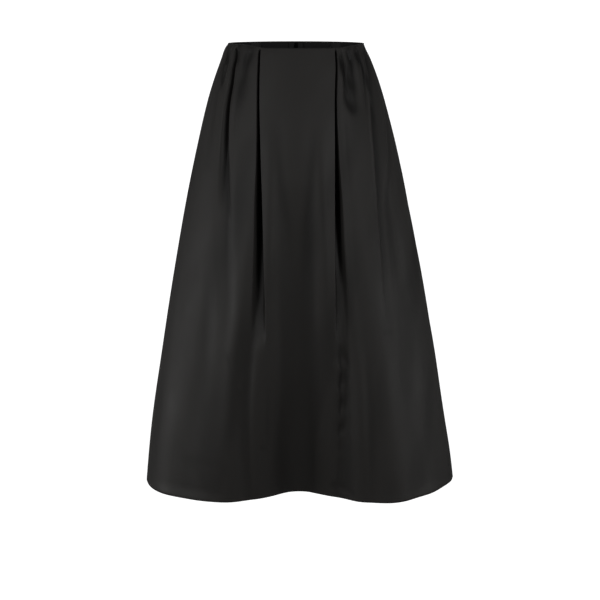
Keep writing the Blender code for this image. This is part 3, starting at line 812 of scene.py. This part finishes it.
@dataclass(frozen=True)
class SatinFinish:
    """Black satin: smooth, with soft highlights, a faint stretch along the warp, and painted shade that darkens
    its colour in creases and dents.
    """

    name: str = "black_satin"
    colour: tuple[float, float, float] = (0.0215, 0.0203, 0.0192)
    roughness: float = 0.54
    uneven: float = 0.05
    specular: float = 0.16
    anisotropy: float = 0.30
    # How far the painted shade darkens the colour at its fullest, as a share of it.
    painted_shade_scale: float = 0.40
    relief: float = 0.12
    relief_depth: float = 0.0004
    streaks: tuple[float, float, float] = (260.0, 14.0, 1.0)
    clouds: tuple[float, float, float] = (14.0, 7.0, 1.0)
    cloud_range: tuple[float, float] = (0.3, 0.7)

    def make(self) -> bpy.types.Material:
        """Builds the material."""
        material, write, shader = fresh_material(self.name)
        painted_crease_shade = write.add("ShaderNodeAttribute", attribute_name="painted_crease_shade").outputs["Fac"]
        cloth = write.add("ShaderNodeUVMap", uv_map="cloth").outputs["UV"]
        # Painted shade: the colour goes towards this darker copy as the attribute rises in creases and dents.
        painted_shade_colour = [part * self.painted_shade_scale for part in self.colour]
        clouds = write.noise(cloth, self.clouds, 2.0)
        write.feed(shader, {
            "Base Color": write.blend(painted_crease_shade, self.colour, painted_shade_colour),
            "Specular IOR Level": self.specular,
            "Anisotropic": self.anisotropy,
            "Roughness": write.spread(clouds, self.roughness, self.uneven, self.cloud_range),
            "Normal": write.bump(write.noise(cloth, self.streaks, 3.0), self.relief, self.relief_depth),
        })
        return material


@dataclass(frozen=True)
class WovenFinish:
    """A dull woven cloth: facing, zip tape, thread or the satin's wrong side."""

    name: str
    colour: tuple[float, float, float]
    roughness: float
    threads: float
    relief: float
    relief_depth: float = 0.0002
    specular: float = 0.30
    sheen: float = 0.10
    mottle: float = 0.15
    mottles: float = 90.0

    def make(self) -> bpy.types.Material:
        """Builds the material."""
        material, write, shader = fresh_material(self.name)
        place = write.object_place()
        dark, light = ([part * (1 + side * self.mottle) for part in self.colour] for side in (-1, 1))
        weft = {"Scale": self.threads, "Distortion": 0.6, "Vector": place}
        weave = write.add("ShaderNodeTexWave", weft, bands_direction="Z").outputs["Fac"]
        write.feed(shader, {
            "Base Color": write.blend(write.noise(place, [self.mottles] * 3, 2.0), dark, light),
            "Roughness": self.roughness,
            "Specular IOR Level": self.specular,
            "Sheen Weight": self.sheen,
            "Normal": write.bump(weave, self.relief, self.relief_depth),
        })
        return material


@dataclass(frozen=True)
class EnamelFinish:
    """Black enamel or nylon on the zip's hard pieces."""

    name: str
    colour: tuple[float, float, float]
    roughness: float
    metallic: float
    uneven: float = 0.08
    wear: float = 700.0

    def make(self) -> bpy.types.Material:
        """Builds the material."""
        material, write, shader = fresh_material(self.name)
        wear = write.noise(write.object_place(), [self.wear] * 3, 3.0)
        write.feed(shader, {
            "Base Color": (*self.colour, 1.0),
            "Metallic": self.metallic,
            "Roughness": write.spread(wear, self.roughness, self.uneven),
        })
        return material


def made_by(finish: SatinFinish | WovenFinish | EnamelFinish) -> Any:
    """A field that holds this finish's material."""
    return field(default_factory=finish.make)


@dataclass
class Finishes:
    """Every material of the skirt, made once."""

    satin: bpy.types.Material = made_by(SatinFinish())
    wrong_side: bpy.types.Material = made_by(
        WovenFinish("satin_wrong_side", (0.0105, 0.0098, 0.0104), 0.72, 900.0, 0.15))
    facing: bpy.types.Material = made_by(
        WovenFinish("facing_cloth", (0.0070, 0.0068, 0.0072), 0.70, 700.0, 0.20))
    tape: bpy.types.Material = made_by(
        WovenFinish("zip_tape_weave", (0.0095, 0.0095, 0.0098), 0.85, 500.0, 0.35))
    thread: bpy.types.Material = made_by(
        WovenFinish("black_thread", (0.0120, 0.0118, 0.0122), 0.60, 1500.0, 0.25))
    coil: bpy.types.Material = made_by(EnamelFinish("black_nylon", (0.016, 0.016, 0.017), 0.42, 0.0))
    enamel: bpy.types.Material = made_by(EnamelFinish("black_enamel", (0.030, 0.030, 0.031), 0.30, 0.9))


@dataclass
class ClothPanel:
    """A satin panel from the waist edge to the hem, with its wrong side and its turned hem."""

    name: str
    face: Face
    span: Span
    flat: tuple[float, float]
    area: float
    column_times: int = 5
    row_times: int = 7
    wall: float = 0.0009
    hem_wall: float = 0.0014
    top: float = 0.0012
    outer: np.ndarray = field(init=False)

    def build(self) -> bpy.types.Object:
        """Builds the panel's closed wall."""
        plan = ColumnPlan(self.face, self.span)
        folds, counts = plan.counts()
        heights = finer(np.array(ROWS), self.row_times)
        heights[0] = self.top
        outer, uv, creases, unfolded = [], [], [], []
        for height in heights:
            ring = Ring(self.face, float(height))
            arc = finer(plan.at(ring, folds, counts), self.column_times)
            sink = ring.sink(arc)
            points = ring.outline(arc, sink)
            outer.append(points)
            # Painted shade: how much the satin's colour is darkened at each point, from its creases and dents.
            creases.append(painted_shade_amount(ring.height, arc, sink, ring.creases(arc)))
            uv.append(on_cloth(arc, height))
            unfolded.append(float(np.linalg.norm(np.diff(points, axis=0), axis=1).sum()))
        self.outer = np.array(outer)
        walls = np.where(heights > LENGTH - HEM_TURN, self.hem_wall, self.wall)
        normals = outward_normals(self.outer, self.face, blur=3)
        inner = self.outer - normals * walls[:, None, None]
        LOG.info("%s: unfolded %.3f m at the waist, %.3f m at most", self.name, unfolded[0], max(unfolded))
        return closed_sheet(f"{self.name}_satin", self.outer, inner, np.array(uv), np.array(creases))

    def dress(self, obj: bpy.types.Object, finishes: Finishes) -> None:
        """Gives the panel its materials and puts it in the frame.

        Args:
            obj: the panel.
            finishes: the skirt's materials.
        """
        settle(obj, "satin", finishes.satin, finishes.wrong_side, stands_for=self.name)


@dataclass
class WaistEdge:
    """The rolled edge where a panel turns over onto its facing."""

    name: str
    face: Face
    span: Span
    radius: float = 0.00145
    sides: int = 12
    columns: int = 260
    uv_round: float = 0.002

    def build(self) -> bpy.types.Object:
        """Builds the roll as a closed tube along the waist edge."""
        ring = Ring(self.face, 0.0)
        start, end = self.span.ends(ring)
        arc = np.linspace(start, end, self.columns)
        edge = ring.outline(arc, np.zeros(len(arc)))
        inside = ring.outline(arc, np.full(len(arc), 1.0)) - edge
        inside[:, 2] = 0.0
        inside /= np.linalg.norm(inside, axis=1)[:, None]
        middle = edge + inside * self.radius - np.array([0.0, 0.0, self.radius])
        up = np.array([0.0, 0.0, 1.0])
        rows = []
        for turn in [math.tau * k / self.sides for k in range(self.sides)]:
            rows.append(middle - inside * self.radius * math.cos(turn) + up * self.radius * math.sin(turn))
        numbers = np.arange(self.sides * self.columns).reshape(self.sides, self.columns)
        caps = [numbers[:, 0].tolist(), numbers[:, -1].tolist()]
        obj = object_of(self.name, np.array(rows).reshape(-1, 3), tube_faces(numbers) + caps)
        layer = obj.data.uv_layers.new(name="cloth")
        for corner, vertex in zip(layer.data, [lp.vertex_index for lp in obj.data.loops]):
            side, column = divmod(vertex, self.columns)
            corner.uv = (float(arc[column]), self.uv_round * side / self.sides)
        turn_outward(obj.data)
        return obj

    def dress(self, obj: bpy.types.Object, finishes: Finishes) -> None:
        """Gives the roll the panel's satin and puts it in the frame."""
        settle(obj, "satin", finishes.satin)


@dataclass
class WaistFacing:
    """The smooth inner band at the waist, outside which the pleats and gathers are held."""

    name: str
    face: Face
    span: Span
    flat: tuple[float, float]
    deep: float = 0.024
    wall: float = 0.0008
    lift: float = 0.0018
    top: float = 0.0014
    widen: float = 2.0
    spread: float = 0.004
    gain: float = 1.12
    rows: int = 13
    columns: int = 150
    inner: np.ndarray = field(init=False)

    def build(self) -> bpy.types.Object:
        """Builds the facing's closed wall."""
        grid, uv = [], []
        for height in np.linspace(self.top, self.deep, self.rows):
            ring = Ring(self.face, float(height))
            start, end = self.span.ends(ring)
            arc = np.linspace(start, end, self.columns)
            sink = ring.sink(arc, soft=False, widen=self.widen, spread=self.spread)
            grid.append(ring.outline(arc, sink * self.gain))
            uv.append(on_cloth(arc, height))
        cloth = np.array(grid)
        normals = outward_normals(cloth, self.face, blur=2)
        outer = cloth - normals * self.lift
        self.inner = cloth - normals * (self.lift + self.wall)
        return closed_sheet(f"{self.name}_facing_cloth", outer, self.inner, np.array(uv))

    def dress(self, obj: bpy.types.Object, finishes: Finishes) -> None:
        """Gives the facing its cloth and puts it in the frame."""
        settle(obj, "facing", finishes.facing, stands_for=f"{self.name}_facing")


class Repeat(Enum):
    """What is repeated along a line."""

    STITCH = "stitch"
    COIL_LOOP = "coil_loop"


@dataclass(frozen=True)
class RepeatAlong:
    """A Geometry Nodes tree that sets one small shape along a line."""

    shape: Repeat
    spacing: float
    size: tuple[float, float, float]

    def _shape(self, write: NodeWriter, size: Socket) -> Socket:
        """The repeated shape's geometry, one unit across, scaled to its size."""
        if self.shape is Repeat.STITCH:
            ball = {"Segments": 6, "Rings": 5, "Radius": 0.5}
            unit = write.add("GeometryNodeMeshUVSphere", ball)
        else:
            path, profile = (
                write.add("GeometryNodeCurvePrimitiveCircle", {"Resolution": points, "Radius": radius})
                for points, radius in ((10, 0.5), (5, 0.09))
            )
            curves = {"Curve": path.outputs["Curve"], "Profile Curve": profile.outputs["Curve"]}
            unit = write.add("GeometryNodeCurveToMesh", curves)
        scaled = write.add("GeometryNodeTransform", {"Geometry": unit.outputs["Mesh"], "Scale": size})
        return scaled.outputs["Geometry"]

    def tree(self, material: bpy.types.Material) -> bpy.types.NodeTree:
        """Builds the tree.

        Args:
            material: the repeated pieces' material.

        Returns:
            A tree with the inputs Spacing and Size.
        """
        tree = bpy.data.node_groups.new(f"{self.shape.value}_along_line", "GeometryNodeTree")
        for name, side, kind in (
            ("Geometry", "INPUT", "Geometry"), ("Spacing", "INPUT", "Float"),
            ("Size", "INPUT", "Vector"), ("Geometry", "OUTPUT", "Geometry"),
        ):
            tree.interface.new_socket(name, in_out=side, socket_type=f"NodeSocket{kind}")
        write = NodeWriter(tree)
        given, made = write.add("NodeGroupInput").outputs, write.add("NodeGroupOutput")
        line = write.add("GeometryNodeMeshToCurve", {"Mesh": given["Geometry"]})
        spaced = {"Curve": line.outputs["Curve"], "Length": given["Spacing"]}
        points = write.add("GeometryNodeCurveToPoints", spaced, mode="LENGTH").outputs
        turn = write.add("FunctionNodeAlignEulerToVector", {"Vector": points["Tangent"]}, axis="Z")
        shapes = write.add("GeometryNodeInstanceOnPoints", {
            "Points": points["Points"],
            "Instance": self._shape(write, given["Size"]),
            "Rotation": turn.outputs["Rotation"],
        })
        flow = shapes.outputs["Instances"]
        for step, more in (
            ("RealizeInstances", {}), ("SetShadeSmooth", {}), ("SetMaterial", {"Material": material}),
        ):
            flow = write.add(f"GeometryNode{step}", {"Geometry": flow, **more}).outputs["Geometry"]
        write.feed(made, {"Geometry": flow})
        return tree

    def build(
        self, name: str, lines: Sequence[np.ndarray], material: bpy.types.Material,
    ) -> bpy.types.Object:
        """Sets the shape along these lines and turns the result into a plain mesh.

        Args:
            name: the object's name.
            lines: the points of each line.
            material: the pieces' material.

        Returns:
            The finished object.
        """
        points = np.concatenate(lines)
        edges, first = [], 0
        for line in lines:
            edges += [(first + i, first + i + 1) for i in range(len(line) - 1)]
            first += len(line)
        mesh = bpy.data.meshes.new(name)
        mesh.from_pydata(points.tolist(), edges, [])
        obj = bpy.data.objects.new(name, mesh)
        bpy.context.scene.collection.objects.link(obj)
        modifier = obj.modifiers.new("Along", "NODES")
        modifier.node_group = self.tree(material)
        given = {"Spacing": self.spacing, "Size": self.size}
        for item in modifier.node_group.interface.items_tree:
            if item.in_out == "INPUT" and item.name in given:
                modifier[item.identifier] = given[item.name]
        graph = bpy.context.evaluated_depsgraph_get()
        plain = bpy.data.meshes.new_from_object(obj.evaluated_get(graph))
        obj.modifiers.remove(modifier)
        obj.data = plain
        plain.name = name
        return obj


@dataclass
class ConcealedZip:
    """The zip in the centre back seam: woven tapes, the coil's loops, and the enamelled slider and pull."""

    end: float = 0.205
    start: float = 0.003
    coil_top: float = 0.0131
    inner: float = 0.0032
    outer: float = 0.0149
    tape_wall: float = 0.0009
    loop_pitch: float = 0.0013
    loop_size: tuple[float, float, float] = (0.0050, 0.0014, 0.0016)
    loop_lift: float = 0.0011
    core_half: float = 0.0020
    core_wall: float = 0.0005
    lift: float = CAD_WALL + SEAM + 0.00005
    margin: float = 0.001
    columns: int = 5
    row_times: int = 4
    line_points: int = 60

    def _strip(
        self, name: str, across: tuple[float, float], top: float, lift: float, wall: float,
    ) -> bpy.types.Object:
        """A strip behind the back panels, down to the zip's end.

        Args:
            name: the object's name.
            across: its edges' distances from the centre back.
            top: the height of its top end.
            lift: how far it lies inside the panels' outer face.
            wall: its thickness.

        Returns:
            The strip.
        """
        grid, uv = [], []
        between = [height for height in ROWS if top + self.margin < height < self.end - self.margin]
        for height in finer(np.array([top, *between, self.end]), self.row_times):
            k = int(np.searchsorted(ROWS, height, side="right")) - 1
            part = (height - ROWS[k]) / (ROWS[k + 1] - ROWS[k])
            ends = []
            for row in (ROWS[k], ROWS[k + 1]):
                ring = Ring(B, row)
                arc = ring.arc_at(0.0) + np.linspace(*across, self.columns)
                flat = ring.outline(arc[[0, -1]], np.zeros(2))
                ends.append(flat[0] + (flat[1] - flat[0]) * np.linspace(0, 1, self.columns)[:, None])
            grid.append(ends[0] * (1 - part) + ends[1] * part)
            uv.append(on_cloth(arc, height))
        cloth = np.array(grid)
        normals = outward_normals(cloth, B, blur=0)
        return closed_sheet(name, cloth - normals * lift, cloth - normals * (lift + wall), np.array(uv))

    def build(self, finishes: Finishes) -> None:
        """Builds and dresses the zip.

        Args:
            finishes: the skirt's materials.
        """
        for name, across in (("left", (-self.outer, -self.inner)), ("right", (self.inner, self.outer))):
            tape = self._strip(f"zip_{name}_tape_weave", across, self.start, self.lift, self.tape_wall)
            settle(tape, "tape", finishes.tape, stands_for=f"zip_tape_{name}")
        across = (-self.core_half, self.core_half)
        core = self._strip("zip_coil_core", across, self.coil_top, self.lift + self.core_wall, self.core_wall)
        settle(core, "tape", finishes.tape)
        line = []
        for height in np.linspace(self.end - self.margin, self.coil_top + self.margin, self.line_points):
            ring = Ring(B, float(height))
            line.append(ring.outline(np.array([ring.arc_at(0.0)]), np.array([self.lift + self.loop_lift]))[0])
        repeat = RepeatAlong(Repeat.COIL_LOOP, self.loop_pitch, self.loop_size)
        loops = repeat.build("zip_coil_loops", [np.array(line)], finishes.coil)
        settle(loops, "coil", stands_for="zip_coil")

    def dress_hard(self, nodes: dict[str, bpy.types.Object], finishes: Finishes) -> None:
        """Gives the solids of the slider and the pull their enamel."""
        for node in (nodes["zip_slider"], nodes["zip_pull"]):
            node.data.materials.clear()
            node.data.materials.append(finishes.enamel)


@dataclass
class Stitching:
    """Rows of black thread: along the facing under the waist edge, and inside the hem turn."""

    waist_spacing: float = 0.0030
    hem_spacing: float = 0.0125
    waist_size: tuple[float, float, float] = (0.00050, 0.00050, 0.0022)
    hem_size: tuple[float, float, float] = (0.00045, 0.00045, 0.0030)
    waist_row: int = 2
    waist_ends: int = 3
    hem_ends: int = 4
    hem_every: int = 3
    hem_clear: float = 0.0001

    def build(self, facings: Sequence[WaistFacing], panels: Sequence[ClothPanel], finishes: Finishes) -> None:
        """Builds and dresses both rows.

        Args:
            facings: the finished facings.
            panels: the finished panels.
            finishes: the skirt's materials.
        """
        waist = [facing.inner[self.waist_row][self.waist_ends:-self.waist_ends] for facing in facings]
        stitches = RepeatAlong(Repeat.STITCH, self.waist_spacing, self.waist_size)
        settle(stitches.build("waist_understitching", waist, finishes.thread), "facing")
        hem = []
        for panel in panels:
            row = int(np.searchsorted(finer(np.array(ROWS), panel.row_times), LENGTH - HEM_TURN))
            normals = outward_normals(panel.outer[row - 2:row + 3], panel.face, blur=3)[2]
            line = panel.outer[row] - normals * (panel.hem_wall + self.hem_clear)
            hem.append(line[self.hem_ends:-self.hem_ends:self.hem_every])
        picks = RepeatAlong(Repeat.STITCH, self.hem_spacing, self.hem_size)
        settle(picks.build("hem_stitches", hem, finishes.thread), "satin")


@dataclass(frozen=True)
class Softbox:
    """A soft studio light: where it stands, what it looks at, its size and its power."""

    name: str
    place: tuple[float, float, float]
    target: tuple[float, float, float]
    size: tuple[float, float]
    power: float

    def build(self) -> None:
        """Makes the light."""
        data = bpy.data.lights.new(self.name, "AREA")
        data.shape = "RECTANGLE"
        data.size, data.size_y = self.size
        data.energy = self.power
        lamp = bpy.data.objects.new(self.name, data)
        lamp.location = self.place
        lamp.rotation_euler = (Vector(self.target) - Vector(self.place)).to_track_quat("-Z", "Y").to_euler()
        bpy.context.scene.collection.objects.link(lamp)


@dataclass
class Studio:
    """The plain pale floor with its swept back, the soft lights and the photograph's camera."""

    floor_height: float = -1.5
    half_width: float = 6.0
    near: float = -6.0
    back: float = 4.2
    sweep: float = 1.4
    top: float = 4.5
    glow_start: float = -0.3
    glow_full: float = 0.9
    sweep_steps: int = 17
    grey: float = 0.35
    glow: float = 0.95
    camera_place: tuple[float, float, float] = (0.008, -3.2, 0.12)
    camera_pitch: float = 11.1047
    camera_lens: float = 97.832
    air: float = 0.08

    def floor(self) -> None:
        """Builds the floor and its swept back as one sheet, brighter towards the back."""
        profile = [(self.near, self.floor_height)]
        for turn in np.linspace(0, math.pi / 2, self.sweep_steps):
            out, up = self.sweep * math.sin(turn), self.sweep * (1 - math.cos(turn))
            profile.append((self.back + out, self.floor_height + up))
        profile.append((self.back + self.sweep, self.top))
        points = np.array([(side * self.half_width, y, z) for y, z in profile for side in (-1, 1)])
        faces = [(2 * i, 2 * i + 1, 2 * i + 3, 2 * i + 2) for i in range(len(profile) - 1)]
        floor = object_of("studio_floor", points, faces)
        material, write, shader = fresh_material("pale_floor")
        split = write.add("ShaderNodeSeparateXYZ", {"Vector": write.object_place()})
        glow = write.add("ShaderNodeMapRange", {
            "From Min": self.glow_start, "From Max": self.glow_full,
            "To Max": self.glow, "Value": split.outputs["Y"],
        }, interpolation_type="SMOOTHSTEP")
        write.feed(shader, {
            "Base Color": (self.grey, self.grey, self.grey, 1.0),
            "Roughness": 0.9,
            "Specular IOR Level": 0.1,
            "Emission Color": (1.0, 1.0, 1.0, 1.0),
            "Emission Strength": glow.outputs["Result"],
        })
        floor.data.materials.append(material)
        floor.visible_glossy = False

    def lights(self) -> None:
        """Builds the soft lights and the even light of the room."""
        world = bpy.data.worlds.new("room")
        world.use_nodes = True
        background = world.node_tree.nodes["Background"]
        background.inputs["Color"].default_value = (1.0, 1.0, 1.0, 1.0)
        background.inputs["Strength"].default_value = self.air
        bpy.context.scene.world = world
        boxes = (
            Softbox("key", (-2.3, -3.2, 0.7), (0.0, 0.0, -0.45), (1.7, 1.7), 46.0),
            Softbox("fill", (2.3, -3.2, 0.7), (0.0, 0.0, -0.45), (1.7, 1.7), 45.0),
            Softbox("front", (0.0, -3.6, 2.9), (0.0, 0.0, -0.45), (1.6, 1.2), 5.0),
            Softbox("low_left", (-3.3, -0.4, -0.7), (0.0, 0.0, -0.7), (1.6, 1.3), 33.0),
            Softbox("low_right", (3.3, -0.4, -0.7), (0.0, 0.0, -0.7), (1.6, 1.3), 19.0),
        )
        for box in boxes:
            box.build()

    def camera(self) -> None:
        """Makes the photograph's camera."""
        data = bpy.data.cameras.new("camera")
        data.sensor_width = 36.0
        data.lens = self.camera_lens
        data.clip_end = 50.0
        camera = bpy.data.objects.new("camera", data)
        camera.location = self.camera_place
        camera.rotation_euler = (math.radians(90 - self.camera_pitch), 0.0, 0.0)
        bpy.context.scene.collection.objects.link(camera)
        bpy.context.scene.camera = camera

    def build(self) -> None:
        """Builds the whole studio."""
        self.floor()
        self.lights()
        self.camera()
        bpy.context.scene.view_settings.view_transform = "Standard"


def main() -> None:
    """Builds the skirt's looks in order."""
    for old in list(bpy.data.objects):
        bpy.data.objects.remove(old, do_unlink=True)
    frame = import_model()
    finishes = Finishes()
    panels = [
        ClothPanel("front", F, WHOLE, (0.85, 0.90), 0.619),
        ClothPanel("back_left", B, LEFT_HALF, (0.42, 0.90), 0.303),
        ClothPanel("back_right", B, RIGHT_HALF, (0.43, 0.90), 0.307),
    ]
    facings = [
        WaistFacing("front", F, WHOLE, (0.40, 0.024)),
        WaistFacing("back_left", B, LEFT_FACING, (0.19, 0.024)),
        WaistFacing("back_right", B, RIGHT_FACING, (0.19, 0.024)),
    ]
    edges = [WaistEdge(f"{panel.name}_waist_edge", panel.face, panel.span) for panel in panels]
    for piece in (*edges, *panels, *facings):
        piece.dress(piece.build(), finishes)
    zip_set = ConcealedZip()
    zip_set.build(finishes)
    zip_set.dress_hard(frame["nodes"], finishes)
    Stitching().build(facings, panels, finishes)
    Studio().build()
    LOG.info("sizes kept")


if __name__ == "__main__":
    logging.basicConfig(level=logging.INFO, format="%(message)s")
    main()
